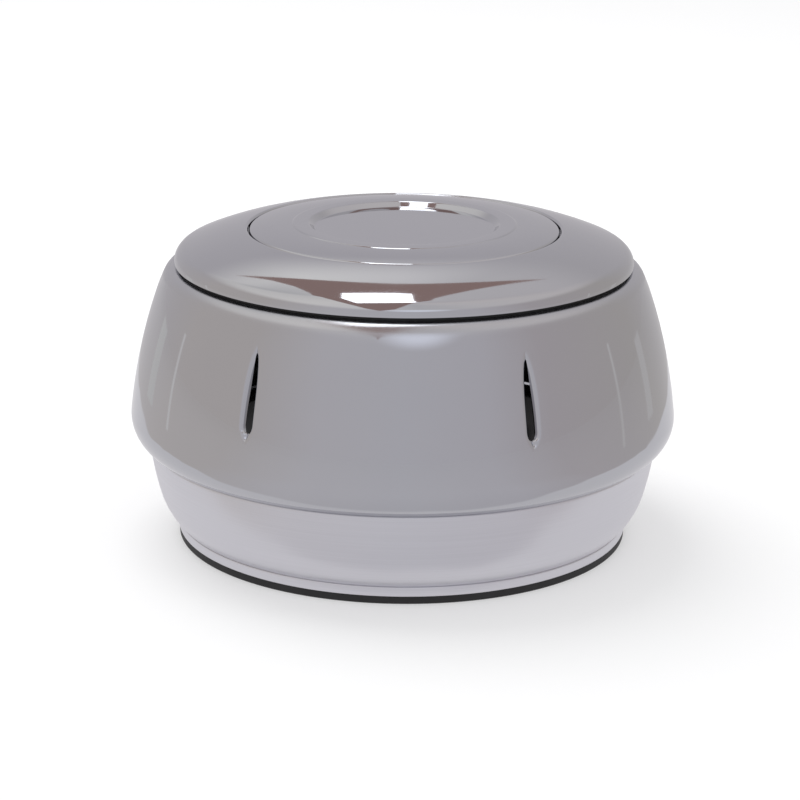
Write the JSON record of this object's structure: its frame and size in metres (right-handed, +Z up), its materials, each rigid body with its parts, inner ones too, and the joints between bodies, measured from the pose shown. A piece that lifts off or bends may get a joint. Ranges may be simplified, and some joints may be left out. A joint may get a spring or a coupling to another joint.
{
  "type": "wheel hub cover",
  "caption": "Round bright wheel hub cover with teardrop side vents, a narrower lower skirt on a black foot seal, hub-gripping springs inside and a push-in domed lid that lifts off.",
  "frame": {"origin": "middle of the flat face that the foot seal rests on", "axes": "+Z up along the axis of the cover, out of the wheel and towards the lid; -Y is the side seen in the picture"},
  "size_m": [0.26, 0.26, 0.1514],
  "materials": {
    "bright_plate": "mirror-polished bright plate on pressed steel",
    "satin_plate": "satin-polished bright plate on pressed steel",
    "black_rubber": "matt moulded rubber",
    "black_paint": "satin black coated pressed steel",
    "zinc_plate": "bright zinc-plated steel fasteners",
    "spring_steel": "blued spring steel strip"
  },
  "bodies": {
    "cover_body": {"barrel_shell": "bright_plate", "lower_skirt": "satin_plate", "base_band": "satin_plate", "foot_seal": "black_rubber", "joint_gasket": "black_rubber", "joint_screws": "zinc_plate", "joint_washers": "zinc_plate", "joint_nuts": "zinc_plate", "hub_ring": "black_paint", "grip_springs": "spring_steel", "grip_rivets": "zinc_plate", "neck_seal": "black_rubber"},
    "lid": {"lid_ring": "bright_plate", "centre_plate": "bright_plate", "plate_studs": "zinc_plate", "plate_gasket": "black_rubber", "lid_carrier": "black_paint", "stud_nuts": "spring_steel", "lid_fingers": "spring_steel", "finger_rivets": "zinc_plate"}
  },
  "joints": [
    {"name": "lid_lift", "type": "slide", "parent": "cover_body", "child": "lid", "axis": [0, 0, 1], "range_m": [0, 0.08]}
  ]
}
